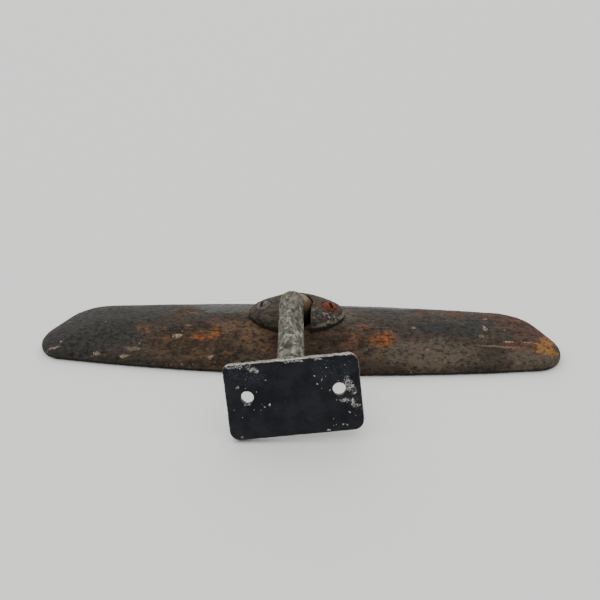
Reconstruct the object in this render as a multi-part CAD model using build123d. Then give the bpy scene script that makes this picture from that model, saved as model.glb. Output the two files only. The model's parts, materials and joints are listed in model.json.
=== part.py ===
"""A vintage car interior mirror: a long pressed steel head with its glass face down, a ball
joint clamped on the head's back, and a cast arm that ends in a two-hole mounting plate.

Lengths are in millimetres. +Z is up, X runs along the head, and the arm reaches towards -Y.
The head is modelled about its own plan centre, and every piece is moved at the end so that
the origin is the bottom centre of the whole object's box.
"""

from build123d import *
from math import cos, radians, sqrt, tan
import os

# The head's outline: two long shallow arcs, two slanted end lines and four round corners.
HEAD_HALF_DEPTH = 25.8
NEAR_EDGE_RADIUS = 789.0
FAR_EDGE_RADIUS = 957.0
END_LINE_X = 113.8
END_LINE_SLOPE = 0.424
NEAR_CORNER_RADIUS = 12.7
FAR_CORNER_RADIUS = 19.1
HEAD_HALF_LENGTH = 115.0

# The pressed shell: (distance in from the outline, height) of its rolled edge and domed back.
STEEL = 0.9
RIM_HEIGHT = 2.4
ROLLED_EDGE = [(1.0, 0.0), (0.3, 0.3), (0.0, 1.0)]
DOME = [
    (0.0, RIM_HEIGHT), (0.3, 3.3), (1.2, 4.3), (2.8, 5.3), (5.5, 6.6),
    (9.0, 8.1), (13.0, 9.6), (17.0, 10.7), (20.5, 11.4), (24.0, 11.8),
]
DOME_RUN_OUT = 0.05
LIP_WIDTH = 3.4
GLASS_INSET = 2.0
GLASS_THICKNESS = 2.2
CARD_INSET = 4.0
CARD_THICKNESS = 1.0

# The ball joint.
BALL_CENTRE = Vector(0.4, 3.45, 14.0)
BALL_RADIUS = 8.0
RUNNING_FIT = 0.05
SEAT_THICKNESS = 0.7
SEAT_HALF_ANGLE = 45.0
DISH_THICKNESS = 0.6
SHELL_HOLE_RADIUS = 9.6

# The clamp plate over the ball: (half length, half depth, height) of its domed top.
CLAMP_HALF_LENGTH = 21.8
CLAMP_HALF_DEPTH = 13.3
CLAMP_EDGE_HEIGHT = 13.2
CLAMP_DOME = [
    (CLAMP_HALF_LENGTH, CLAMP_HALF_DEPTH, CLAMP_EDGE_HEIGHT),
    (20.8, 12.8, 14.35),
    (18.7, 12.1, 15.5),
    (15.4, 11.2, 16.65),
    (11.8, 10.0, 17.75),
    (8.6, 8.5, 18.5),
]
MOUTH_RADIUS = 7.4
CLAMP_STEEL = 1.5
SLOT_HALF_WIDTH = 6.8

# The clamp's screws, leaning outwards with the slope of the clamp plate.
SCREW_OFFSET = 14.8
SCREW_LEAN = 16.0
SCREW_SHANK_RADIUS = 1.9
SCREW_CLEARANCE = 0.3
SCREW_SEAT_HEIGHT = 16.3
SCREW_LENGTH = 10.7
SCREW_HEAD_RADIUS = 3.5
SCREW_HEAD_HEIGHT = 2.0
SCREW_SLOT_WIDTH = 1.5
SCREW_SLOT_DEPTH = 1.2
SCREW_SLOT_TURNS = {"left": 80.0, "right": 112.0}
NUT_WIDTH = 6.4
NUT_THICKNESS = 2.2
NUT_DEPTH = 8.35

# The flanged plate inside the shell that carries the dish and the nuts.
FLANGE_HALF_LENGTH = 20.0
FLANGE_HALF_DEPTH = 7.0
FLANGE_BOTTOM = 9.2
FLANGE_CORNER = 4.0

# The arm's own frame: it stands yawed and rolled about the ball by these angles.
ARM_YAW = 4.2
ARM_ROLL = -4.5
NECK_LEAN = 34.0
NECK_RADIUS = 4.3
ARM_RADIUS = 5.1
ARM_OFFSET = -1.35
ELBOW_RISE = 9.7
ELBOW_BEND = 7.5
SPIGOT_RADIUS = 2.5
SPIGOT_DEPTH = 5.0

# The mounting plate, in the arm's frame.
PLATE_WIDTH = 49.2
PLATE_HEIGHT = 28.4
PLATE_THICKNESS = 3.0
PLATE_CORNER = 3.9
PLATE_TIGHT_CORNER = 2.6
PLATE_EDGE_ROUND = 0.6
PLATE_CENTRE = Vector(-1.1, -62.36, 2.3)
PLATE_LEAN = 23.8
PLATE_ROLL = 0.9
HOLE_PITCH = 33.4
HOLE_RISE = 1.47
HOLE_RADIUS = 2.38

# The arm's flared root: (distance from its end, half width, half height, sideways offset).
ROOT_SECTIONS = [(12.0, 4.8, 4.8, 0.0), (6.0, 5.9, 5.3, -0.5), (0.0, 10.0, 5.7, -3.2)]
ROOT_OVERRUN = 2.0


def corner(side):
    """Where a long arc meets the end line: side is -1 for the near edge and 1 for the far."""
    radius = NEAR_EDGE_RADIUS if side < 0 else FAR_EDGE_RADIUS
    x = END_LINE_X
    for _ in range(12):
        y = side * (HEAD_HALF_DEPTH - radius + sqrt(radius**2 - x**2))
        x = END_LINE_X - END_LINE_SLOPE * y
    return x, y


def outline():
    """The head's outline as a flat face."""
    near_x, near_y = corner(-1)
    far_x, far_y = corner(1)
    near = ThreePointArc((-near_x, near_y), (0, -HEAD_HALF_DEPTH), (near_x, near_y))
    right = Line((near_x, near_y), (far_x, far_y))
    far = ThreePointArc((far_x, far_y), (0, HEAD_HALF_DEPTH), (-far_x, far_y))
    left = Line((-far_x, far_y), (-near_x, near_y))
    face = make_face([near, right, far, left])
    face = fillet([v for v in face.vertices() if v.Y < 0], NEAR_CORNER_RADIUS)
    return fillet([v for v in face.vertices() if v.Y > far_y - 1e-3], FAR_CORNER_RADIUS)


def dome_section(inset, height):
    """The outline shrunk towards its middle, faster along its length than across."""
    across = 1 - inset / HEAD_HALF_DEPTH
    along = 1 - (inset + DOME_RUN_OUT * inset**2) / HEAD_HALF_LENGTH
    shrunk = scale(outline(), by=(along, across, 1))
    return Pos(0, 0, height) * Face(Wire(shrunk.edges()))


def shell_outside():
    """The solid bounded by the shell's outer surface."""
    return loft([dome_section(inset, height) for inset, height in ROLLED_EDGE + DOME], ruled=True)


def shell_inside():
    """The space inside the shell: the same dome, moved in by the steel's thickness."""
    rim_top = RIM_HEIGHT - STEEL * 0.4
    rim = extrude(dome_section(STEEL, STEEL), rim_top - STEEL)
    sections = [dome_section(STEEL, rim_top)]
    for inset, height in DOME[1:]:
        sections.append(dome_section(STEEL * 0.6 + inset, height - STEEL))
    return rim + loft(sections, ruled=True)


def ball_space(radius):
    """A sphere of the given radius about the ball's centre."""
    return Pos(BALL_CENTRE) * Sphere(radius)


def screw_place(side):
    """The frame of a clamp screw: its origin under the head, +Z out of the head."""
    x = BALL_CENTRE.X + side * SCREW_OFFSET
    return Pos(x, BALL_CENTRE.Y, SCREW_SEAT_HEIGHT) * Rot(0, side * SCREW_LEAN, 0)


def screw_holes(radius):
    """Both screws' holes, as bars to cut away."""
    bar = Cylinder(radius, 40)
    return screw_place(-1) * bar + screw_place(1) * bar


def make_back_shell(outer, cavity):
    """Thin steel pressing with its edge curled in under the glass, and a hole for the ball."""
    shell = outer - cavity
    shell -= extrude(dome_section(LIP_WIDTH, -1), STEEL + 1)
    hole = Pos(BALL_CENTRE.X, BALL_CENTRE.Y, 10) * Cylinder(SHELL_HOLE_RADIUS, 10)
    return shell - hole - screw_holes(SCREW_SHANK_RADIUS + SCREW_CLEARANCE)


def make_mirror_glass():
    return extrude(dome_section(GLASS_INSET, STEEL), GLASS_THICKNESS)


def make_backing_card():
    return extrude(dome_section(CARD_INSET, STEEL + GLASS_THICKNESS), CARD_THICKNESS)


def make_socket_plate(cavity):
    """Steel plate inside the shell's back: its top follows the shell, its middle is the dish."""
    flange = RectangleRounded(2 * FLANGE_HALF_LENGTH, 2 * FLANGE_HALF_DEPTH, FLANGE_CORNER)
    place = Pos(BALL_CENTRE.X, BALL_CENTRE.Y, FLANGE_BOTTOM)
    flange = (place * extrude(flange, 6)) & cavity
    inner = BALL_RADIUS + 2 * RUNNING_FIT + SEAT_THICKNESS
    dish = ball_space(inner + DISH_THICKNESS)
    above = Pos(BALL_CENTRE.X, BALL_CENTRE.Y, 20) * Box(40, 40, 20)
    plate = flange + (dish - above)
    return plate - ball_space(inner) - screw_holes(SCREW_SHANK_RADIUS)


def make_clamp_nuts():
    """Two square nuts under the socket plate, one on each screw."""
    nuts = []
    for side in (-1, 1):
        blank = Box(NUT_WIDTH, NUT_WIDTH, NUT_THICKNESS) - Cylinder(SCREW_SHANK_RADIUS, 10)
        middle = -NUT_DEPTH - NUT_THICKNESS / 2
        nuts.append(screw_place(side) * Pos(0, 0, middle) * blank)
    return Compound([nut.solid() for nut in nuts])


def clamp_block(inset, drop, bottom):
    """The domed oval solid of the clamp plate, moved in by inset and down by drop."""
    place = Pos(BALL_CENTRE.X, BALL_CENTRE.Y, 0)
    base = Ellipse(CLAMP_HALF_LENGTH - inset, CLAMP_HALF_DEPTH - inset)
    wall = extrude(Pos(0, 0, bottom) * base, CLAMP_EDGE_HEIGHT - drop - bottom)
    sections = []
    for half_length, half_depth, height in CLAMP_DOME:
        oval = Ellipse(half_length - inset, half_depth - inset)
        sections.append(Pos(0, 0, height - drop) * oval)
    return place * (wall + loft(sections))


def make_clamp_plate(outer):
    """Oval cap pressed over the ball, with a round mouth that opens to a slot on one side."""
    cap = clamp_block(0, 0, 5) - clamp_block(CLAMP_STEEL, CLAMP_STEEL, 4)
    cap -= outer
    cap -= ball_space(BALL_RADIUS + RUNNING_FIT)
    cap -= Pos(BALL_CENTRE.X, BALL_CENTRE.Y, BALL_CENTRE.Z + 10) * Cylinder(MOUTH_RADIUS, 20)
    slot = Box(2 * SLOT_HALF_WIDTH, 40, 30)
    cap -= Pos(BALL_CENTRE.X, BALL_CENTRE.Y - 20, BALL_CENTRE.Z) * slot
    for side in (-1, 1):
        cap -= screw_place(side) * Pos(0, 0, 10) * Cylinder(SCREW_HEAD_RADIUS + SCREW_CLEARANCE, 20)
    return cap - screw_holes(SCREW_SHANK_RADIUS + SCREW_CLEARANCE)


def make_clamp_screw(side, slot_turn):
    """Slotted round-head screw."""
    crown = (SCREW_HEAD_RADIUS**2 + SCREW_HEAD_HEIGHT**2) / (2 * SCREW_HEAD_HEIGHT)
    head = Pos(0, 0, SCREW_HEAD_HEIGHT - crown) * Sphere(crown)
    head &= Pos(0, 0, 5) * Box(20, 20, 10)
    slot_middle = SCREW_HEAD_HEIGHT - SCREW_SLOT_DEPTH + 5
    head -= Pos(0, 0, slot_middle) * Rot(0, 0, slot_turn) * Box(20, SCREW_SLOT_WIDTH, 10)
    shank = Pos(0, 0, -SCREW_LENGTH / 2) * Cylinder(SCREW_SHANK_RADIUS, SCREW_LENGTH)
    return screw_place(side) * (head + shank)


def make_ball_seat():
    """Thin cup of friction material between the ball and the dish."""
    inner = BALL_RADIUS + RUNNING_FIT
    cup = Sphere(inner + SEAT_THICKNESS) - Sphere(inner)
    edge = -inner * cos(radians(SEAT_HALF_ANGLE))
    return Pos(BALL_CENTRE) * (cup - Pos(0, 0, edge + 20) * Box(40, 40, 40))


def arm_place():
    """The arm's frame: origin at the ball's centre, -Y towards the mounting plate."""
    return Pos(BALL_CENTRE) * Rot(0, 0, ARM_YAW) * Rot(0, ARM_ROLL, 0)


def elbow_point():
    """Where the neck's line meets the arm's line, in the arm's frame."""
    return Vector(ARM_OFFSET, -ELBOW_RISE * tan(radians(NECK_LEAN)), ELBOW_RISE)


def neck_frame():
    """At the ball's centre with +Z up the arm's neck, in the arm's frame."""
    return Plane(origin=(0, 0, 0), x_dir=(1, 0, 0), z_dir=elbow_point()).location


def make_ball():
    """Steel ball with a blind bore for the arm's spigot."""
    depth = SPIGOT_DEPTH + RUNNING_FIT
    bore = Pos(0, 0, BALL_RADIUS - depth / 2 + 1) * Cylinder(SPIGOT_RADIUS + RUNNING_FIT, depth + 2)
    return arm_place() * neck_frame() * (Sphere(BALL_RADIUS) - bore)


def plate_place():
    """Centre of the plate's front face in the arm's frame, +Z out of the face."""
    return Pos(PLATE_CENTRE) * Rot(90 - PLATE_LEAN, 0, 0) * Rot(0, 0, PLATE_ROLL)


def make_mounting_plate():
    """The rectangular plate, with its two screw holes and softened front edges."""
    blank = Rectangle(PLATE_WIDTH, PLATE_HEIGHT)
    blank = fillet(blank.vertices().sort_by_distance((-99, 99, 0))[:1], PLATE_TIGHT_CORNER)
    square_corners = [v for v in blank.vertices() if abs(v.X * v.Y) > 0.249 * PLATE_WIDTH * PLATE_HEIGHT]
    blank = fillet(square_corners, PLATE_CORNER)
    plate = Pos(0, 0, -PLATE_THICKNESS) * extrude(blank, PLATE_THICKNESS)
    front = plate.faces().sort_by(Axis.Z)[-1]
    plate = fillet(front.edges(), PLATE_EDGE_ROUND)
    for side in (-1, 1):
        plate -= Pos(side * HOLE_PITCH / 2, HOLE_RISE, 0) * Cylinder(HOLE_RADIUS, 20)
    return plate_place() * plate


def foot_point():
    """Where the arm's line ends, a little past the plate's front face, in the arm's frame."""
    rise = ELBOW_RISE - PLATE_CENTRE.Z
    front = PLATE_CENTRE.Y + rise * tan(radians(PLATE_LEAN))
    return Vector(ARM_OFFSET, front - ROOT_OVERRUN, ELBOW_RISE)


def make_flare():
    """The arm's flared root, wider on the left, as one loft from the rod to the plate."""
    foot = foot_point()
    sections = []
    for distance, half_width, half_height, offset in ROOT_SECTIONS:
        facing = Plane(origin=foot + Vector(offset, distance, 0), x_dir=(1, 0, 0), z_dir=(0, -1, 0))
        sections.append(facing * Ellipse(half_width, half_height))
    return loft(sections)


def make_rod():
    """The round arm and its bend, without the tapered neck."""
    elbow = elbow_point()
    path = FilletPolyline((0, 0, 0), elbow, foot_point(), radius=ELBOW_BEND)
    profile = Plane(origin=(0, 0, 0), z_dir=elbow) * Circle(ARM_RADIUS)
    return sweep(profile, path=path)


def make_mounting_arm():
    """The zinc casting: round arm, bent neck with its spigot, flared root and plate."""
    length = elbow_point().length
    taper = Cone(NECK_RADIUS, ARM_RADIUS, length, align=(Align.CENTER, Align.CENTER, Align.MIN))
    bend_start = length - ELBOW_BEND * tan(radians(90 - NECK_LEAN) / 2)
    below_bend = neck_frame() * Cylinder(20, 2 * bend_start)
    neck = (neck_frame() * taper) & below_bend
    beyond = plate_place() * Pos(0, 0, 10 - PLATE_THICKNESS / 2) * Box(80, 80, 20)
    body = neck + (make_rod() - below_bend) + make_flare() - beyond
    body = body - Sphere(BALL_RADIUS + RUNNING_FIT) + make_mounting_plate()
    middle = BALL_RADIUS - SPIGOT_DEPTH / 2 + 0.5
    body += neck_frame() * Pos(0, 0, middle) * Cylinder(SPIGOT_RADIUS, SPIGOT_DEPTH + 1)
    return arm_place() * body


def make_parts():
    """Every piece by name, in the head's frame."""
    outer = shell_outside()
    cavity = shell_inside()
    return {
        "back_shell": make_back_shell(outer, cavity),
        "mirror_glass": make_mirror_glass(),
        "backing_card": make_backing_card(),
        "socket_plate": make_socket_plate(cavity),
        "clamp_nuts": make_clamp_nuts(),
        "clamp_plate": make_clamp_plate(outer),
        "clamp_screw_left": make_clamp_screw(-1, SCREW_SLOT_TURNS["left"]),
        "clamp_screw_right": make_clamp_screw(1, SCREW_SLOT_TURNS["right"]),
        "ball_seat": make_ball_seat(),
        "ball": make_ball(),
        "mounting_arm": make_mounting_arm(),
    }


def centre_on_floor(parts):
    """The move that puts the bottom centre of the whole object's box at the origin."""
    boxes = [shape.bounding_box() for shape in parts.values()]
    low_x, high_x = min(b.min.X for b in boxes), max(b.max.X for b in boxes)
    low_y, high_y = min(b.min.Y for b in boxes), max(b.max.Y for b in boxes)
    low_z = min(b.min.Z for b in boxes)
    return Pos(-(low_x + high_x) / 2, -(low_y + high_y) / 2, -low_z)


def print_interfaces(shift):
    """The places that a user of the part needs: joint centre and axes, holes and plate face."""
    print("ball centre", shift.position + BALL_CENTRE)
    print("tilt axis", Plane(arm_place()).x_dir)
    print("swing axis", Plane(arm_place()).y_dir)
    print("twist axis", Plane(arm_place() * neck_frame()).z_dir)
    for side in (-1, 1):
        hole = plate_place() * Pos(side * HOLE_PITCH / 2, HOLE_RISE, 0)
        face = shift * arm_place() * hole
        print("hole", side, "at", face.position, "axis", Plane(face).z_dir)
    print("plate centre", (shift * arm_place() * plate_place()).position)


def main():
    parts = make_parts()
    shift = centre_on_floor(parts)
    os.makedirs("parts", exist_ok=True)
    for name, shape in parts.items():
        export_step(shift * shape, f"parts/{name}.step")
    print_interfaces(shift)


main()
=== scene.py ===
"""Looks of a vintage interior mirror: rusted pressed head, clamped ball joint and cast arm."""

import json
import math

import bmesh
import bpy
import numpy as np
from mathutils import Matrix, Vector, noise


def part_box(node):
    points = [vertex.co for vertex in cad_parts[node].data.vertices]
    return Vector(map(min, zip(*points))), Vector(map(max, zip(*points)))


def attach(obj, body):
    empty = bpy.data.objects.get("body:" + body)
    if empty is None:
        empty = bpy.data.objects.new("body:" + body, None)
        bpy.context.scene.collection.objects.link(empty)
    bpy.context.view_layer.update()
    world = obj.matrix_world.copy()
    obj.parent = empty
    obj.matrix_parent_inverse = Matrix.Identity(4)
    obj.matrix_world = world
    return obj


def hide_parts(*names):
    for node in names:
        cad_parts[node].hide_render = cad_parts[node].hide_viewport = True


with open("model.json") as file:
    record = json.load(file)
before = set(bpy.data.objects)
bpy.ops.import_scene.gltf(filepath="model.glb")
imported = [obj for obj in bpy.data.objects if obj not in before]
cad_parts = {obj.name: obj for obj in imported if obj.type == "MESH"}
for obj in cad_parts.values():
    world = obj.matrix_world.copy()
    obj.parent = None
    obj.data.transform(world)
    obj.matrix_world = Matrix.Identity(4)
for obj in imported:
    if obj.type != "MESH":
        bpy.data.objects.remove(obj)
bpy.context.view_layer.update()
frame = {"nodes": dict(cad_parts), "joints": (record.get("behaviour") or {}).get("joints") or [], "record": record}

MM = 0.001

# The camera, measured from the head's plan centre on the floor.
CAMERA_OFFSET = Vector((19.311, -225.120, 157.464)) * MM
CAMERA_FORWARD = Vector((-0.064506, 0.854737, -0.515038))
CAMERA_ROLL = math.radians(-1.184)
LENS = 36.0

FLOOR_HALF_SIZE = 3.0

# Sizes of the joint and the mounting plate, in millimetres.
BALL_RADIUS = 8.0
PLATE_THICKNESS = 3.0
PLATE_HALF_WIDTH = 24.6
PLATE_HALF_HEIGHT = 14.2

# How far around each point the smoothed surface is taken, in millimetres.
HOLLOW_REACH = 0.6

# Patches on the head's back: (x, y, half length, half depth) in millimetres in the row frame.
ORANGE_RUST = [(38.8, 8.6, 4.6, 3.4), (-39.5, 7.3, 4.8, 1.5), (-34.5, 10, 2.2, 2.0)]
FAINT_RUST = [
    (-67, 12.1, 4.2, 2.2), (-38, 8.2, 7.5, 3.0), (-35, 11, 3.2, 3.0), (-36.5, 18.1, 1.7, 1.4),
    (-20, 8, 1.8, 1.5), (-11, 2.5, 2.6, 2.0), (-28, 0, 2.2, 1.4), (-22, 25, 2.4, 1.8),
    (-56.5, 8, 2.4, 1.0), (38, 9, 6.5, 5.2), (-46, 24, 2, 1.2), (31, 16, 4, 2),
]
RED_RUST = [
    (26, 8, 5.0, 4.2), (44.5, 15.5, 2.8, 1.1), (57, 31, 4.5, 6.5), (72, 30, 5, 5.5),
    (101, 26, 14, 13), (88, 30, 7, 6), (97, 9, 10, 3.5),
]
TIP_RUST = [(107.5, 9.5, 5.5, 4.0), (110, 15, 3, 4)]
# Glossy patches on the far side; their lighter grey is a painted reflection of the bright surround.
GLOSS_AND_PAINTED_SHEEN = [(-33, 33, 15, 9), (-56, 41, 14, 4), (40, 41, 30, 5)]
CREAM_FLECKS = [
    (-51, 8.1, 2.5, 0.9), (-85.5, 0.6, 1.8, 0.6), (-73, -0.8, 2.0, 0.65), (-34.7, -1.6, 1.0, 0.9),
    (-106, 3.6, 3.0, 0.5), (-103.5, 6.6, 0.8, 0.6), (83, 17.6, 0.9, 2.0), (80.5, 12.1, 1.3, 0.8),
    (85, 26.6, 0.8, 1.2), (100, 11.1, 3.2, 0.4), (92, 10.1, 2.6, 0.35), (52, 15.6, 1.5, 0.5),
]
PALE_RUST = [(-69, 2.4, 3.2, 0.9), (-47, 14, 2, 0.7), (88, 7.6, 10, 0.6)]
DARK_STEEL = [
    (75, 17.5, 11, 5), (60, 15.5, 8, 4), (95.5, 9, 4, 1.2), (-53, 12.8, 2.4, 1.7), (-92, 18, 26, 26),
    (-78, 9, 13, 5),
]
BROWN_ZONE = [(-38, 5, 27, 13), (-16, 12, 20, 15), (20, 5, 22, 11), (-52, 25, 5, 7)]
TAWNY_ZONE = [(-17, 9, 7, 9), (-30, 14, 5, 4)]
TAN_ZONE = [(56, 3, 24, 7), (0.4, 23.5, 28, 15), (102, 4, 13, 7)]

# Patches on the clamp plate, given in the same way.
CLAMP_STAINS = [(15, 24, 6.0, 3.6), (17.5, 28, 4.5, 4)]
CLAMP_CORROSION = [(11.5, 14.8, 5.5, 2.4), (15.5, 17.2, 4.6, 2.2), (8.4, 20, 1.3, 4)]

# Chips in the plate's paint: (across, up, half width, half height) from the plate's centre.
PLATE_CHIPS = [
    (-9.1, 7.5, 0.4, 0.2), (-18.0, 12.4, 0.25, 0.25), (-8.9, -1.8, 0.34, 0.34),
    (-10.8, -2.5, 0.26, 0.2), (-11.7, -1.3, 0.24, 0.2), (-19.0, -5.6, 0.24, 0.22), (-20.2, -12.9, 0.6, 0.4),
    (9.0, 4.2, 0.3, 0.25), (10.6, 2.2, 0.25, 0.22), (10.9, 5.5, 0.2, 0.26), (13.4, 1.5, 0.28, 0.34),
    (15.3, -2.2, 0.26, 0.26), (16.6, -2.6, 0.26, 0.3), (19.5, -7.2, 0.22, 0.3), (21.7, -8.7, 0.3, 0.22),
    (13.6, -9.3, 0.2, 0.42), (16.9, -11.5, 0.22, 0.2), (18.1, -11.8, 0.26, 0.26), (11.3, -13.2, 0.7, 0.25),
    (19.5, 10.0, 0.28, 0.25), (12.9, 10.0, 0.2, 0.2), (12.2, 6.8, 0.16, 0.16), (8.2, 7.4, 0.16, 0.16),
]
PLATE_FLAKES = [
    (-14.9, 12.6, 1.2, 0.7), (-13.3, 11.6, 1.5, 1.0), (-12.2, 10.9, 0.9, 0.8), (-19.6, 5.8, 0.6, 0.9),
    (-16.7, -1.0, 1.2, 0.5), (19.9, 3.5, 1.8, 1.7), (20.8, 1.8, 1.7, 1.5), (22.0, 0.4, 1.0, 1.0),
    (19.9, 5.6, 0.9, 0.6), (21.2, -3.4, 0.8, 1.5), (22.4, -5.1, 1.3, 0.7), (18.6, -2.8, 1.8, 0.8),
    (0.8, 13.4, 2.8, 0.45), (3.4, 13.2, 1.6, 0.35), (10, 13.3, 2.0, 0.35), (-20, 13.2, 3, 0.5),
]
PLATE_HAZE = [(18.6, -1.6, 3.4, 1.8), (16, 9, 8, 4), (22, -5, 2.5, 4), (-15, 9, 6, 3.5), (-19, 11, 5, 3)]


def head_centre():
    """The head's plan centre on the floor, in the row frame."""
    low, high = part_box("back_shell")
    return Vector(((low.x + high.x) / 2, (low.y + high.y) / 2, low.z))


def mount(name):
    """A mount's place and axis, in the row frame."""
    for entry in frame["record"]["mounts"]:
        if entry["name"] == name:
            return Vector(entry["pos_m"]), Vector(entry["axis"]).normalized()
    raise ValueError(name)


def ball_centre():
    """Where the three hinges cross, in the row frame."""
    return Vector(frame["joints"][0]["pos_m"])


def make_camera():
    """The camera, rolled a little about its own line of sight."""
    data = bpy.data.cameras.new("camera")
    data.lens = LENS
    data.sensor_width = LENS
    data.clip_start = 0.01
    camera = bpy.data.objects.new("camera", data)
    bpy.context.scene.collection.objects.link(camera)
    forward = CAMERA_FORWARD.normalized()
    right = forward.cross(Vector((0, 0, 1))).normalized()
    up = right.cross(forward)
    across = math.cos(CAMERA_ROLL) * right + math.sin(CAMERA_ROLL) * up
    above = -math.sin(CAMERA_ROLL) * right + math.cos(CAMERA_ROLL) * up
    turn = Matrix((across, above, -forward)).transposed().to_4x4()
    camera.matrix_world = Matrix.Translation(head_centre() + CAMERA_OFFSET) @ turn
    bpy.context.scene.camera = camera


class Paint:
    """A procedural material. Its coordinates are millimetres in the row frame."""

    def __init__(self, name):
        self.material = bpy.data.materials.new(name)
        self.material.use_nodes = True
        self.tree = self.material.node_tree
        self.shader = self.tree.nodes["Principled BSDF"]
        place = self.tree.nodes.new("ShaderNodeTexCoord").outputs["Object"]
        self.place = self.vector("SCALE", place, scale=1 / MM)

    def feed(self, socket, value):
        """Links a node's output to the socket, or sets a number or colour on it."""
        if isinstance(value, bpy.types.NodeSocket):
            self.tree.links.new(value, socket)
        elif hasattr(value, "__len__") and socket.type == "RGBA":
            socket.default_value = (*value, 1)
        else:
            socket.default_value = value

    def math(self, operation, *values):
        """A math node on sockets or plain numbers."""
        node = self.tree.nodes.new("ShaderNodeMath")
        node.operation = operation
        for socket, value in zip(node.inputs, values):
            self.feed(socket, value)
        return node.outputs[0]

    def vector(self, operation, *values, scale=None):
        """A vector math node on sockets or plain vectors."""
        node = self.tree.nodes.new("ShaderNodeVectorMath")
        node.operation = operation
        for socket, value in zip(node.inputs, values):
            self.feed(socket, value)
        if scale is not None:
            node.inputs["Scale"].default_value = scale
        return node.outputs["Value" if operation in ("LENGTH", "DOT_PRODUCT") else "Vector"]

    def noise(self, size, detail=3.0, rough=0.55, stretch=(1, 1, 1), bend=0.0, output=0):
        """Fractal noise whose largest lumps are about size millimetres across."""
        node = self.tree.nodes.new("ShaderNodeTexNoise")
        squeeze = [1 / (size * s) for s in stretch]
        self.feed(node.inputs["Vector"], self.vector("MULTIPLY", self.place, squeeze))
        node.inputs["Scale"].default_value = 1.0
        node.inputs["Detail"].default_value = detail
        node.inputs["Roughness"].default_value = rough
        node.inputs["Distortion"].default_value = bend
        return node.outputs[output]

    def cells(self, size):
        """Distance to the nearest of scattered points about size millimetres apart."""
        node = self.tree.nodes.new("ShaderNodeTexVoronoi")
        squeeze = [1 / size] * 3
        self.feed(node.inputs["Vector"], self.vector("MULTIPLY", self.place, squeeze))
        node.inputs["Scale"].default_value = 1.0
        return node.outputs["Distance"]

    def step(self, value, low, high):
        """0 below low and 1 above high, with a smooth rise between; or falling if low > high."""
        node = self.tree.nodes.new("ShaderNodeMapRange")
        node.interpolation_type = "SMOOTHSTEP"
        self.feed(node.inputs["Value"], value)
        falling = low > high
        node.inputs["From Min"].default_value = min(low, high)
        node.inputs["From Max"].default_value = max(low, high)
        node.inputs["To Min"].default_value = 1.0 if falling else 0.0
        node.inputs["To Max"].default_value = 0.0 if falling else 1.0
        return node.outputs["Result"]

    def span(self, value, low, high):
        """Turns a 0 to 1 value into low to high."""
        return self.math("MULTIPLY_ADD", value, high - low, low)

    def flip(self, value):
        """1 becomes 0 and 0 becomes 1."""
        return self.math("SUBTRACT", 1.0, value)

    def level(self, factor, first, second):
        """Mixes two plain numbers."""
        node = self.tree.nodes.new("ShaderNodeMix")
        self.feed(node.inputs[0], factor)
        self.feed(node.inputs[2], first)
        self.feed(node.inputs[3], second)
        return node.outputs[0]

    def mix(self, factor, first, second):
        """Mixes two colours."""
        node = self.tree.nodes.new("ShaderNodeMix")
        node.data_type = "RGBA"
        self.feed(node.inputs[0], factor)
        self.feed(node.inputs[6], first)
        self.feed(node.inputs[7], second)
        return node.outputs[2]

    def times(self, *values):
        """All the values multiplied together."""
        result = values[0]
        for value in values[1:]:
            result = self.math("MULTIPLY", result, value)
        return result

    def most(self, *values):
        """The greatest of the values."""
        result = values[0]
        for value in values[1:]:
            result = self.math("MAXIMUM", result, value)
        return result

    def warped(self, amount, size):
        """The place moved about by noise, for ragged shapes."""
        swirl = self.noise(size, detail=3, output=1)
        swirl = self.vector("SUBTRACT", swirl, (0.5, 0.5, 0.5))
        return self.vector("ADD", self.place, self.vector("SCALE", swirl, scale=amount))

    def blotches(self, place, spots, ragged=0.9, size=1.8):
        """A mask of oval spots, whose edges are broken up by noise."""
        nearest = None
        for x, y, half_x, half_y in spots:
            offset = self.vector("SUBTRACT", place, (x, y, 0))
            offset = self.vector("MULTIPLY", offset, (1 / half_x, 1 / half_y, 0))
            away = self.vector("LENGTH", offset)
            nearest = away if nearest is None else self.math("MINIMUM", nearest, away)
        grain = self.span(self.noise(size, detail=4, rough=0.7), -ragged, ragged)
        inside = self.math("SUBTRACT", grain, nearest)
        return self.step(inside, -1.15, -0.65)

    def local(self, origin, right, up, out):
        """Coordinates in millimetres from origin along three directions."""
        offset = self.vector("SUBTRACT", self.place, origin / MM)
        node = self.tree.nodes.new("ShaderNodeCombineXYZ")
        for socket, direction in zip(node.inputs, (right, up, out)):
            self.feed(socket, self.vector("DOT_PRODUCT", offset, direction))
        return node.outputs[0]

    def parts(self, value):
        """The x, y and z of a vector."""
        node = self.tree.nodes.new("ShaderNodeSeparateXYZ")
        self.feed(node.inputs[0], value)
        return node.outputs[:3]

    def hollow(self):
        """How far the surface lies below its smoothed self, in millimetres; the materials darken with it as
        painted shade in hollows.
        """
        node = self.tree.nodes.new("ShaderNodeAttribute")
        node.attribute_name = "hollow"
        return node.outputs["Fac"]

    def cover(self, colour, roughness, height=None, relief=0.2, metallic=0.0, specular=0.5):
        """Sends the results to the shader. relief is the bump's height in millimetres."""
        self.feed(self.shader.inputs["Base Color"], colour)
        self.feed(self.shader.inputs["Roughness"], roughness)
        self.feed(self.shader.inputs["Metallic"], metallic)
        self.shader.inputs["Specular IOR Level"].default_value = specular
        if height is not None:
            bump = self.tree.nodes.new("ShaderNodeBump")
            bump.inputs["Strength"].default_value = 1.0
            bump.inputs["Distance"].default_value = relief * MM
            self.feed(bump.inputs["Height"], height)
            self.feed(self.shader.inputs["Normal"], bump.outputs["Normal"])
        return self.material


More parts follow.
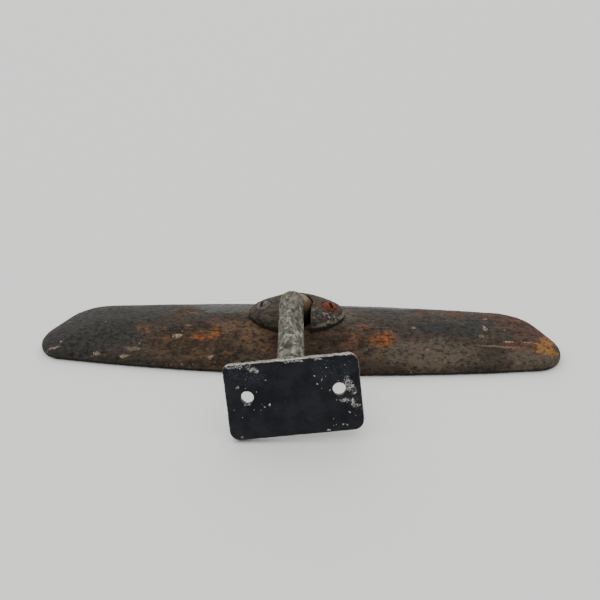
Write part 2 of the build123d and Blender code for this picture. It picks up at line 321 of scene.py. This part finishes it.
def shell_zones(p, place, middle, broad, fine):
    """The shell's base colour with its large zones; also the masks of the glossy patches (whose grey is a painted
    sheen), brown and red.
    """
    colour = p.mix(p.step(broad, 0.38, 0.62), (0.017, 0.017, 0.015), (0.032, 0.021, 0.012))
    colour = p.mix(p.step(middle, 0.45, 0.68), colour, (0.052, 0.036, 0.022))
    tan = p.times(p.blotches(place, TAN_ZONE, 0.7, 5), 0.8)
    colour = p.mix(tan, colour, (0.092, 0.068, 0.045))
    brown = p.blotches(place, BROWN_ZONE, 0.7, 6)
    brown_mottle = p.mix(p.step(middle, 0.38, 0.62), (0.022, 0.014, 0.008), (0.074, 0.041, 0.019))
    colour = p.mix(p.times(brown, 0.88), colour, brown_mottle)
    tawny = p.times(p.blotches(place, TAWNY_ZONE, 0.8, 3), p.step(fine, 0.36, 0.60))
    colour = p.mix(p.times(tawny, 0.7), colour, (0.115, 0.070, 0.036))
    dark = p.blotches(place, DARK_STEEL, 0.8, 4)
    colour = p.mix(p.times(dark, 0.75), colour, (0.014, 0.0155, 0.0145))
    # Lighter grey on the glossy far-side patches: a painted reflection of the bright surround; their lower
    # roughness is real gloss.
    grey = p.blotches(place, GLOSS_AND_PAINTED_SHEEN, 0.8, 8)
    colour = p.mix(p.times(grey, 0.7), colour, (0.040, 0.040, 0.035))
    red = p.blotches(place, RED_RUST, 1.2, 3.0)
    red_tone = p.mix(p.step(middle, 0.40, 0.62), (0.050, 0.018, 0.010), (0.115, 0.045, 0.024))
    colour = p.mix(p.times(red, 0.6), colour, red_tone)
    return colour, grey, brown, red


def shell_mottle(p, colour, brown, fine):
    """Green and purple tints, dark and light grain, and specks of rust in the brown zone."""
    green = p.step(p.noise(6, detail=3, stretch=(1.5, 1, 1)), 0.56, 0.68)
    colour = p.mix(p.times(green, 0.55), colour, (0.026, 0.034, 0.022))
    purple = p.step(p.noise(5, detail=3, stretch=(2, 1, 1), bend=0.3), 0.60, 0.70)
    colour = p.mix(p.times(purple, 0.45), colour, (0.048, 0.026, 0.030))
    colour = p.mix(p.times(p.step(fine, 0.50, 0.36), 0.8), colour, (0.008, 0.006, 0.004))
    colour = p.mix(p.times(p.step(fine, 0.55, 0.70), 0.5), colour, (0.115, 0.084, 0.054))
    specks = p.times(p.step(p.cells(1.7), 0.30, 0.16), p.step(p.noise(5), 0.48, 0.62))
    return p.mix(p.times(specks, brown, 0.6), colour, (0.15, 0.060, 0.022))


def shell_rust(p, colour, place, fine):
    """Orange patches; also the masks of the bright patches and of the rusty tip."""
    faint = p.times(p.blotches(place, FAINT_RUST, 1.3, 1.6), 0.5)
    faint_tone = p.mix(p.step(fine, 0.4, 0.62), (0.055, 0.020, 0.008), (0.175, 0.070, 0.026))
    colour = p.mix(faint, colour, faint_tone)
    orange = p.times(p.blotches(place, ORANGE_RUST, 1.3, 1.1), 0.8)
    orange_tone = p.mix(p.step(fine, 0.40, 0.62), (0.060, 0.019, 0.006), (0.28, 0.088, 0.020))
    colour = p.mix(orange, colour, orange_tone)
    tip = p.blotches(place, TIP_RUST, 1.2, 1.8)
    tip_tone = p.mix(p.step(fine, 0.38, 0.64), (0.085, 0.034, 0.012), (0.33, 0.15, 0.042))
    colour = p.mix(p.times(tip, 0.85), colour, tip_tone)
    return colour, orange, tip


def shell_wear_and_painted_shade(p, colour, place):
    """Pale flecks, chips along the rolled edge, painted shade along the bottom of the rolled edge, and painted
    shade in the pits.
    """
    pale = p.blotches(place, PALE_RUST, 1.3, 1.0)
    colour = p.mix(p.times(pale, 0.7), colour, (0.17, 0.105, 0.060))
    flaked = p.span(p.step(p.noise(0.7, detail=4, rough=0.75), 0.45, 0.55), 0.05, 0.75)
    cream = p.times(p.blotches(p.warped(2.0, 2.5), CREAM_FLECKS, 1.5, 0.9), flaked)
    colour = p.mix(cream, colour, (0.42, 0.31, 0.21))
    crowding = p.step(p.noise(9, stretch=(2, 1, 1)), 0.52, 0.60)
    scatter = p.times(p.step(p.cells(3.1), 0.16, 0.08), crowding)
    colour = p.mix(p.times(scatter, 0.6), colour, (0.30, 0.24, 0.17))

    height = p.parts(p.place)[2]
    # The lowest 2 mm of the rim are painted near-black: painted shade where the rolled edge meets the floor.
    rim = p.step(height, 2.3, 1.2)
    colour = p.mix(p.times(rim, 0.9), colour, (0.007, 0.005, 0.004))
    edge = p.times(p.step(height, 5.2, 3.6), p.step(height, 1.4, 2.4))
    ragged = p.step(p.noise(2.6, detail=4, rough=0.75, stretch=(2, 1, 1)), 0.62, 0.69)
    colour = p.mix(p.times(edge, ragged, 0.7), colour, (0.22, 0.15, 0.10))
    # Points below the smoothed surface are darkened: painted shade in the pits and hollows.
    return p.mix(p.times(p.step(p.hollow(), 0.03, 0.12), 0.6), colour, (0.007, 0.005, 0.004))


def rusted_shell():
    """Old dark paint and steel, mottled brown, with patches of orange and red rust."""
    p = Paint("rusted_shell")
    place = p.warped(5.0, 9)
    fine = p.noise(1.3, detail=5, rough=0.75, stretch=(1.6, 1, 1))
    middle = p.noise(4.5, detail=5, rough=0.7, stretch=(1.7, 1, 1), bend=0.6)
    broad = p.noise(20, detail=3, stretch=(1.6, 1, 1), bend=0.5)
    grain = p.noise(0.5, detail=2, rough=0.6)

    colour, grey, brown, red = shell_zones(p, place, middle, broad, fine)
    colour = shell_mottle(p, colour, brown, fine)
    colour, orange, tip = shell_rust(p, colour, place, fine)
    colour = shell_wear_and_painted_shade(p, colour, place)

    rust = p.most(brown, red, orange, tip)
    roughness = p.level(rust, p.level(grey, 0.62, 0.42), 0.78)
    relief = p.math("ADD", p.times(fine, 0.9), p.times(grain, 0.4))
    relief = p.math("ADD", relief, p.times(orange, 0.4))
    relief = p.math("SUBTRACT", relief, p.times(p.step(fine, 0.46, 0.34), 0.5))
    return p.cover(colour, roughness, relief, relief=0.28, specular=0.20)


def clamp_steel():
    """Darkened steel cap with dull brown wear, and pale corrosion on its right half; with a painted highlight
    along its lower right edge, and painted shade at its foot and in its hollows.
    """
    p = Paint("clamp_steel")
    place = p.warped(2.5, 4)
    fine = p.noise(0.9, detail=5, rough=0.75)
    middle = p.noise(3.0, detail=4, rough=0.65, bend=0.6)
    hollow = p.hollow()
    colour = p.mix(p.step(middle, 0.40, 0.60), (0.010, 0.008, 0.005), (0.050, 0.037, 0.021))
    streaks = p.step(p.noise(1.6, detail=4, rough=0.7, stretch=(3, 1, 1), bend=0.4), 0.54, 0.66)
    colour = p.mix(p.times(streaks, 0.6), colour, (0.080, 0.066, 0.042))
    colour = p.mix(p.times(p.step(fine, 0.50, 0.36), 0.85), colour, (0.006, 0.004, 0.003))
    colour = p.mix(p.times(p.step(fine, 0.56, 0.70), 0.6), colour, (0.105, 0.088, 0.066))
    stained = p.blotches(place, CLAMP_STAINS, 0.9, 1.6)
    colour = p.mix(p.times(stained, 0.6), colour, (0.070, 0.028, 0.014))
    pale = p.blotches(place, CLAMP_CORROSION, 0.8, 1.4)
    spots = p.step(p.noise(1.15, detail=4, rough=0.75), 0.50, 0.62)
    colour = p.mix(p.times(pale, spots, 0.85), colour, (0.27, 0.215, 0.195))
    x, _, height = p.parts(p.place)
    # A pale band low on the right half, broken up by noise: a painted highlight along the edge.
    rim = p.times(p.step(height, 12.8, 13.5), p.step(height, 14.8, 14.0), p.step(x, 7, 10))
    colour = p.mix(p.times(rim, p.step(p.noise(2.5), 0.40, 0.55), 0.7), colour, (0.18, 0.16, 0.14))
    # The lowest part of the clamp is darkened: painted shade where it meets the shell.
    colour = p.mix(p.times(p.step(height, 12.9, 12.3), 0.7), colour, (0.010, 0.007, 0.005))
    # Points below the smoothed surface are darkened: painted shade in the hollows round the screws.
    colour = p.mix(p.times(p.step(hollow, 0.04, 0.16), 0.85), colour, (0.005, 0.004, 0.003))
    relief = p.math("ADD", fine, p.times(pale, spots, 0.6))
    return p.cover(colour, p.span(fine, 0.50, 0.80), relief, relief=0.20, specular=0.22)


def dull_screw():
    """Greyish steel with a tan film, and painted shade in its slot and hollows."""
    p = Paint("dull_screw")
    fine = p.noise(0.8, detail=4, rough=0.7)
    hollow = p.hollow()
    colour = p.mix(p.step(fine, 0.40, 0.62), (0.030, 0.027, 0.018), (0.145, 0.132, 0.098))
    # Points below the smoothed surface are darkened: painted shade in the slot.
    colour = p.mix(p.step(hollow, -0.02, 0.08), colour, (0.003, 0.002, 0.002))
    return p.cover(colour, p.span(fine, 0.50, 0.70), fine, relief=0.10, specular=0.3)


def rusted_screw():
    """Flaking orange-red rust, with painted shade in its slot and hollows."""
    p = Paint("rusted_screw")
    fine = p.noise(0.9, detail=4, rough=0.75)
    hollow = p.hollow()
    colour = p.mix(p.step(fine, 0.38, 0.64), (0.050, 0.012, 0.005), (0.185, 0.056, 0.022))
    colour = p.mix(p.step(p.noise(0.5, detail=2), 0.60, 0.72), colour, (0.33, 0.15, 0.08))
    colour = p.mix(p.step(fine, 0.42, 0.30), colour, (0.012, 0.005, 0.003))
    # Points below the smoothed surface are darkened: painted shade in the slot.
    colour = p.mix(p.step(hollow, -0.02, 0.08), colour, (0.003, 0.002, 0.001))
    return p.cover(colour, 0.85, fine, relief=0.16, specular=0.2)


def ball_steel():
    """Rust-brown steel; dark green-grey low down, a painted shade inside the socket, and tan on top, partly a
    stain and partly a painted highlight.
    """
    p = Paint("ball_steel")
    fine = p.noise(0.9, detail=4, rough=0.7)
    height = p.parts(p.place)[2]
    ragged = p.math("ADD", height, p.span(p.noise(2.2, detail=3), -1.4, 1.4))
    # Darker below and lighter on top by height: painted shade low in the socket, and partly a painted highlight on
    # top.
    colour = p.mix(p.step(ragged, 17.0, 19.0), (0.014, 0.014, 0.010), (0.085, 0.040, 0.014))
    colour = p.mix(p.step(ragged, 19.4, 21.0), colour, (0.19, 0.145, 0.080))
    colour = p.mix(p.times(p.step(fine, 0.48, 0.36), 0.7), colour, (0.018, 0.011, 0.006))
    return p.cover(colour, p.span(fine, 0.50, 0.70), fine, relief=0.08, specular=0.25)


def plate_frame():
    """The plate face's centre, and its directions across, up and out, in the row frame."""
    face, out = mount("plate_face")
    left, _ = mount("plate_hole_left")
    right, _ = mount("plate_hole_right")
    across = (right - left).normalized()
    return face, across, out.cross(across).normalized(), out


def zinc_colour(p, fine, middle, pits):
    """Grey-green zinc with pale bloom, dark pits and grime, yellower at the bend, and painted shade in its
    hollows.
    """
    _, across, _, _ = plate_frame()
    along = Vector(frame["joints"][1]["axis"])
    zinc = p.mix(p.step(fine, 0.38, 0.60), (0.040, 0.038, 0.026), (0.150, 0.143, 0.108))
    zinc = p.mix(p.times(p.step(middle, 0.51, 0.60), 0.85), zinc, (0.30, 0.30, 0.265))
    place_on_arm = p.local(ball_centre(), across, along, Vector((0, 0, 1)))
    reach, height = p.parts(place_on_arm)[1:]
    top = p.times(p.step(reach, -16, -8), p.step(height, 8, 13))
    top_tone = p.mix(p.step(fine, 0.4, 0.6), (0.075, 0.064, 0.034), (0.20, 0.17, 0.11))
    zinc = p.mix(p.times(top, 0.75), zinc, top_tone)
    zinc = p.mix(p.times(pits, 0.9), zinc, (0.016, 0.016, 0.012))
    grime = p.times(p.step(p.noise(5.5, detail=4), 0.48, 0.60), p.step(fine, 0.62, 0.45))
    zinc = p.mix(p.times(grime, 0.65), zinc, (0.034, 0.036, 0.027))
    root = p.times(p.step(reach, -52, -56), p.step(middle, 0.40, 0.55))
    zinc = p.mix(p.times(root, 0.8), zinc, (0.29, 0.265, 0.19))
    # Points below the smoothed surface are darkened: painted shade in the hollows.
    return p.mix(p.times(p.step(p.hollow(), 0.03, 0.11), 0.6), zinc, (0.018, 0.017, 0.012))


def worn_edges(p, u, v):
    """Masks of the bare band round the plate's edge, and of the wider band along its top."""
    edge = p.most(
        p.math("SUBTRACT", p.math("ABSOLUTE", u), PLATE_HALF_WIDTH),
        p.math("SUBTRACT", p.math("ABSOLUTE", v), PLATE_HALF_HEIGHT),
    )
    wear = p.math("ADD", edge, p.span(p.noise(1.3, detail=5, rough=0.8), -1.5, 1.3))
    ragged = p.span(p.noise(1.5, detail=5, rough=0.75), -1.2, 0.9)
    return p.step(wear, -0.45, -0.15), p.step(p.math("ADD", v, ragged), 13.5, 13.9)


def chipped_paint(p, on_plate):
    """Masks of the chips in the plate's paint, and of its greyish haze."""
    warp = p.vector("SUBTRACT", p.noise(0.9, detail=4, output=1), (0.5, 0.5, 0.5))
    place = p.vector("ADD", on_plate, p.vector("SCALE", warp, scale=1.6))
    broken = p.step(p.noise(0.55, detail=4, rough=0.75), 0.47, 0.53)
    flakes = p.times(p.blotches(place, PLATE_FLAKES, 1.3, 0.9), broken)
    dots = p.times(p.step(p.cells(1.9), 0.11, 0.06), p.step(p.noise(8), 0.54, 0.60))
    chips = p.most(flakes, p.blotches(place, PLATE_CHIPS, 0.9, 0.5), dots)
    dusty = p.step(p.noise(0.6, detail=4), 0.52, 0.66)
    return chips, p.times(p.blotches(place, PLATE_HAZE, 0.8, 2.0), dusty)


def arm_casting():
    """Pitted zinc casting; the plate's front face keeps most of its black paint."""
    p = Paint("arm_casting")
    along_arm = (1.0, 2.0, 1.0)
    fine = p.noise(1.8, detail=5, rough=0.75, stretch=along_arm)
    middle = p.noise(4.2, detail=5, rough=0.7, stretch=along_arm, bend=0.8)
    pits = p.step(p.noise(2.2, detail=5, rough=0.75, stretch=(1, 1.5, 1)), 0.43, 0.38)
    grain = p.noise(0.5, detail=2)
    zinc = zinc_colour(p, fine, middle, pits)

    on_plate = p.local(*plate_frame())
    u, v, depth = p.parts(on_plate)
    worn_edge, top_edge = worn_edges(p, u, v)
    chips, haze = chipped_paint(p, on_plate)
    front = p.step(depth, -0.75, -0.25)
    back_paint = p.times(
        p.step(depth, -PLATE_THICKNESS + 0.5, -PLATE_THICKNESS + 0.1),
        p.step(depth, -PLATE_THICKNESS - 0.9, -PLATE_THICKNESS - 0.4),
        p.step(p.noise(4.5, detail=4, rough=0.7), 0.62, 0.50),
    )
    bare = p.most(worn_edge, top_edge, chips)
    painted = p.most(p.times(front, p.flip(bare)), back_paint)

    cloudy = p.step(p.noise(7, detail=5, rough=0.7), 0.36, 0.66)
    paint = p.mix(cloudy, (0.0016, 0.0026, 0.0055), (0.0115, 0.0125, 0.0160))
    paint = p.mix(p.times(haze, 0.7), paint, (0.050, 0.058, 0.070))
    chip_tone = p.mix(p.step(fine, 0.36, 0.6), (0.22, 0.21, 0.185), (0.62, 0.61, 0.58))
    metal = p.mix(p.times(front, 0.8), zinc, chip_tone)
    side_edge = p.times(worn_edge, p.flip(p.most(top_edge, chips)))
    metal = p.mix(p.times(side_edge, 0.7), metal, (0.060, 0.052, 0.042))
    lower = p.times(p.step(v, -12.2, -13.2), p.step(p.noise(1.3, detail=3), 0.42, 0.58))
    metal = p.mix(p.times(lower, 0.8), metal, (0.040, 0.024, 0.013))
    colour = p.mix(painted, metal, paint)

    rough_metal = p.math("ADD", p.times(fine, 0.9), p.times(grain, 0.3))
    rough_metal = p.math("SUBTRACT", rough_metal, p.times(pits, 0.7))
    smooth_paint = p.math("ADD", p.times(grain, 0.10), 0.85)
    relief = p.level(painted, rough_metal, smooth_paint)
    return p.cover(colour, p.level(painted, 0.78, 0.50), relief, relief=0.22, specular=0.22)


def mirror_silver():
    """Old silvering behind glass: bright, with black spots creeping in from its edge."""
    p = Paint("mirror_glass")
    low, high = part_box("mirror_glass")
    middle = (low + high) / 2 / MM
    half = (high - low) / 2 / MM
    offset = p.vector("ABSOLUTE", p.vector("SUBTRACT", p.place, middle))
    x, y, _ = p.parts(offset)
    edge = p.most(p.math("SUBTRACT", x, half.x - 4), p.math("SUBTRACT", y, half.y - 1.5))
    creep = p.math("ADD", edge, p.span(p.noise(6, detail=4, rough=0.7), -9, 9))
    lost = p.step(creep, 1.0, 3.0)
    spots = p.step(p.cells(9), 0.14, 0.07)
    gone = p.most(lost, p.times(spots, p.step(p.noise(14), 0.50, 0.60)))
    dust = p.step(p.noise(2.0, detail=4, rough=0.7), 0.50, 0.75)
    colour = p.mix(gone, (0.72, 0.76, 0.75), (0.035, 0.032, 0.028))
    colour = p.mix(p.times(dust, 0.15), colour, (0.45, 0.42, 0.36))
    roughness = p.math("ADD", p.span(dust, 0.03, 0.22), p.times(gone, 0.15))
    ripple = p.noise(30, detail=1)
    return p.cover(colour, roughness, ripple, relief=0.02, metallic=p.flip(gone))


def backing_card():
    """Brown fibre card."""
    p = Paint("backing_card")
    fibres = p.noise(0.9, detail=4, rough=0.7, stretch=(3, 1, 1))
    colour = p.mix(p.step(fibres, 0.35, 0.65), (0.090, 0.062, 0.036), (0.170, 0.125, 0.078))
    return p.cover(colour, 0.92, fibres, relief=0.08)


def inner_steel():
    """Dull steel with light rust, sheltered inside the shell."""
    p = Paint("inner_steel")
    fine = p.noise(1.2, detail=4, rough=0.65)
    colour = p.mix(p.step(p.noise(5, detail=3), 0.48, 0.62), (0.17, 0.155, 0.14), (0.12, 0.062, 0.034))
    colour = p.mix(p.times(fine, 0.5), colour, (0.05, 0.04, 0.03))
    return p.cover(colour, p.span(fine, 0.40, 0.70), fine, relief=0.08, metallic=0.5)


def friction_fibre():
    """Pressed red-brown fibre."""
    p = Paint("friction_fibre")
    fibres = p.noise(0.6, detail=4, rough=0.75, stretch=(2, 1, 1))
    colour = p.mix(p.step(fibres, 0.35, 0.65), (0.055, 0.022, 0.012), (0.115, 0.050, 0.026))
    return p.cover(colour, 0.85, fibres, relief=0.06)


def rise(value, low, high):
    """Smooth step of a number, from 0 at low to 1 at high."""
    t = min(max((value - low) / (high - low), 0.0), 1.0)
    return t * t * (3 - 2 * t)


def rust_relief(point):
    """How far rust stands out of the surface, in millimetres; pits go in."""
    swell = 0.10 * noise.noise(point / 9.0) + 0.05 * noise.noise(point / 3.2 + Vector((7, 3, 1)))
    pit = rise(noise.noise(point / 1.3 + Vector((31, 5, 2))), 0.18, 0.45)
    scab = rise(noise.noise(point / 2.4 + Vector((3, 17, 9))), 0.15, 0.40)
    return swell - 0.10 * pit + 0.06 * scab


def clamp_relief(point):
    """The clamp plate's pitting, with its seat for the ball left true."""
    away = (point - ball_centre() / MM).length
    freed = rise(away, BALL_RADIUS + 0.4, BALL_RADIUS + 1.4)
    return 0.8 * freed * rust_relief(point * 1.3)


def casting_relief(point):
    """Lumps and corrosion pits of old zinc, gentler under the plate's paint."""
    away = (point - ball_centre() / MM).length
    freed = rise(away, BALL_RADIUS + 0.3, BALL_RADIUS + 1.3)
    painted = rise((point - plate_centre).dot(plate_out), -0.9, -0.1)
    swell = 0.08 * noise.noise(point / 4.0) + 0.05 * noise.noise(point / 1.6 + Vector((2, 9, 4)))
    pit = rise(noise.noise(point / 1.5 + Vector((12, 5, 8))), 0.15, 0.42)
    return freed * (swell * (1 - 0.6 * painted) - 0.14 * pit * (1 - 0.85 * painted))


def screw_relief(point):
    """Slight lumps and pits."""
    return 0.05 * noise.noise(point / 1.1) - 0.05 * rise(noise.noise(point / 0.6), 0.2, 0.5)


def ball_relief(point):
    """Shallow pits only, so that the ball still turns in its seat."""
    return -0.04 * rise(noise.noise(point / 1.2), 0.15, 0.5)


def remeshed(node, voxel, smoothing, kept):
    """A fine, evenly divided copy of a CAD node's mesh, with softened edges.

    kept is the share of its faces that stays after thinning.
    """
    copy = bpy.data.objects.new("remesh_" + node, frame["nodes"][node].data.copy())
    bpy.context.scene.collection.objects.link(copy)
    shape = bmesh.new()
    shape.from_mesh(copy.data)
    bmesh.ops.remove_doubles(shape, verts=shape.verts, dist=1e-6)
    shape.to_mesh(copy.data)
    shape.free()
    remesh = copy.modifiers.new("remesh", "REMESH")
    remesh.mode = "VOXEL"
    remesh.voxel_size = voxel * MM
    remesh.use_smooth_shade = True
    smooth = copy.modifiers.new("smooth", "SMOOTH")
    smooth.factor = 0.5
    smooth.iterations = smoothing
    if kept < 1:
        thin = copy.modifiers.new("thin", "DECIMATE")
        thin.ratio = kept
    evaluated = copy.evaluated_get(bpy.context.evaluated_depsgraph_get())
    mesh = bpy.data.meshes.new_from_object(evaluated)
    old = copy.data
    bpy.data.objects.remove(copy)
    bpy.data.meshes.remove(old)
    return mesh


def vertex_arrays(mesh):
    """The mesh's points and their normals, as arrays."""
    places = np.empty(len(mesh.vertices) * 3, np.float32)
    normals = np.empty(len(mesh.vertices) * 3, np.float32)
    mesh.vertices.foreach_get("co", places)
    mesh.vertex_normals.foreach_get("vector", normals)
    return places.reshape(-1, 3), normals.reshape(-1, 3)


def roughen(mesh, relief, low, high):
    """Moves each point along its normal by the relief there, and keeps it inside a box."""
    places, normals = vertex_arrays(mesh)
    shifts = np.array([relief(Vector(place)) for place in places / MM], np.float32)
    places += normals * (shifts * MM)[:, None]
    places = np.clip(places, low, high)
    mesh.vertices.foreach_set("co", places.ravel())
    mesh.update()


def store_hollows(mesh, rounds):
    """Stores how far each point lies below the smoothed surface, in millimetres."""
    places, normals = vertex_arrays(mesh)
    ends = np.empty(len(mesh.edges) * 2, np.int32)
    mesh.edges.foreach_get("vertices", ends)
    one, other = ends.reshape(-1, 2).T
    count = len(places)
    shares = np.maximum(np.bincount(ends, minlength=count), 1)
    smooth = places.astype(np.float64)
    for _ in range(rounds):
        for axis in range(3):
            total = np.bincount(one, smooth[other, axis], count)
            total += np.bincount(other, smooth[one, axis], count)
            smooth[:, axis] = (smooth[:, axis] + total / shares) / 2
    depths = ((smooth - places) * normals).sum(axis=1) / MM
    layer = mesh.attributes.new("hollow", "FLOAT", "POINT")
    layer.data.foreach_set("value", depths.astype(np.float32))


def body_of(node):
    """The moving body that a node belongs to."""
    for body, members in frame["record"]["behaviour"]["bodies"].items():
        if node in members:
            return body
    raise ValueError(node)


def make_worn(node, material, voxel, smoothing, relief, kept=1.0):
    """A detailed piece in place of a CAD node. voxel is its grid's step in millimetres."""
    mesh = remeshed(node, voxel, smoothing, kept)
    roughen(mesh, relief, *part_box(node))
    store_hollows(mesh, round(4 * (HOLLOW_REACH / voxel) ** 2))
    mesh.materials.clear()
    mesh.materials.append(material)
    mesh.polygons.foreach_set("material_index", np.zeros(len(mesh.polygons), np.int32))
    mesh.polygons.foreach_set("use_smooth", np.ones(len(mesh.polygons), bool))
    piece = bpy.data.objects.new("worn_" + node, mesh)
    bpy.context.scene.collection.objects.link(piece)
    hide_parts(node)
    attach(piece, body_of(node))


def repaint(node, material):
    """Gives a CAD node that stays as it is a material of its own."""
    for slot in frame["nodes"][node].material_slots:
        slot.material = material


def make_floor():
    """A large pale table top."""
    mesh = bpy.data.meshes.new("floor")
    s = FLOOR_HALF_SIZE
    mesh.from_pydata([(-s, -s, 0), (s, -s, 0), (s, s, 0), (-s, s, 0)], [], [(0, 1, 2, 3)])
    floor = bpy.data.objects.new("floor", mesh)
    bpy.context.scene.collection.objects.link(floor)
    material = bpy.data.materials.new("floor")
    material.use_nodes = True
    shader = material.node_tree.nodes["Principled BSDF"]
    shader.inputs["Base Color"].default_value = (0.78, 0.775, 0.76, 1)
    shader.inputs["Roughness"].default_value = 0.85
    shader.inputs["Specular IOR Level"].default_value = 0.2
    mesh.materials.append(material)


def make_sun(name, strength, direction, angle):
    """A very soft light from everywhere near one direction."""
    data = bpy.data.lights.new(name, "SUN")
    data.energy = strength
    data.angle = math.radians(angle)
    lamp = bpy.data.objects.new(name, data)
    bpy.context.scene.collection.objects.link(lamp)
    lamp.rotation_euler = Vector(direction).to_track_quat("Z", "Y").to_euler()


def make_lights():
    """An even white surround, with one very soft light from above."""
    world = bpy.data.worlds.new("studio")
    world.use_nodes = True
    back = world.node_tree.nodes["Background"]
    back.inputs["Color"].default_value = (1, 1, 1, 1)
    back.inputs["Strength"].default_value = 0.58
    bpy.context.scene.world = world
    make_sun("sky", 3.0, (-0.15, 0.35, 1.0), 110)


make_camera()
make_floor()
make_lights()

# The plate face's centre in millimetres, and its outward direction.
plate_centre, plate_out = mount("plate_face")
plate_centre = plate_centre / MM

make_worn("back_shell", rusted_shell(), 0.5, 6, rust_relief, kept=0.5)
make_worn("clamp_plate", clamp_steel(), 0.22, 5, clamp_relief)
make_worn("clamp_screw_left", dull_screw(), 0.12, 3, screw_relief)
make_worn("clamp_screw_right", rusted_screw(), 0.12, 3, screw_relief)
make_worn("ball", ball_steel(), 0.2, 2, ball_relief)
make_worn("mounting_arm", arm_casting(), 0.26, 4, casting_relief)
repaint("mirror_glass", mirror_silver())
repaint("backing_card", backing_card())
steel = inner_steel()
repaint("socket_plate", steel)
repaint("clamp_nuts", steel)
repaint("ball_seat", friction_fibre())
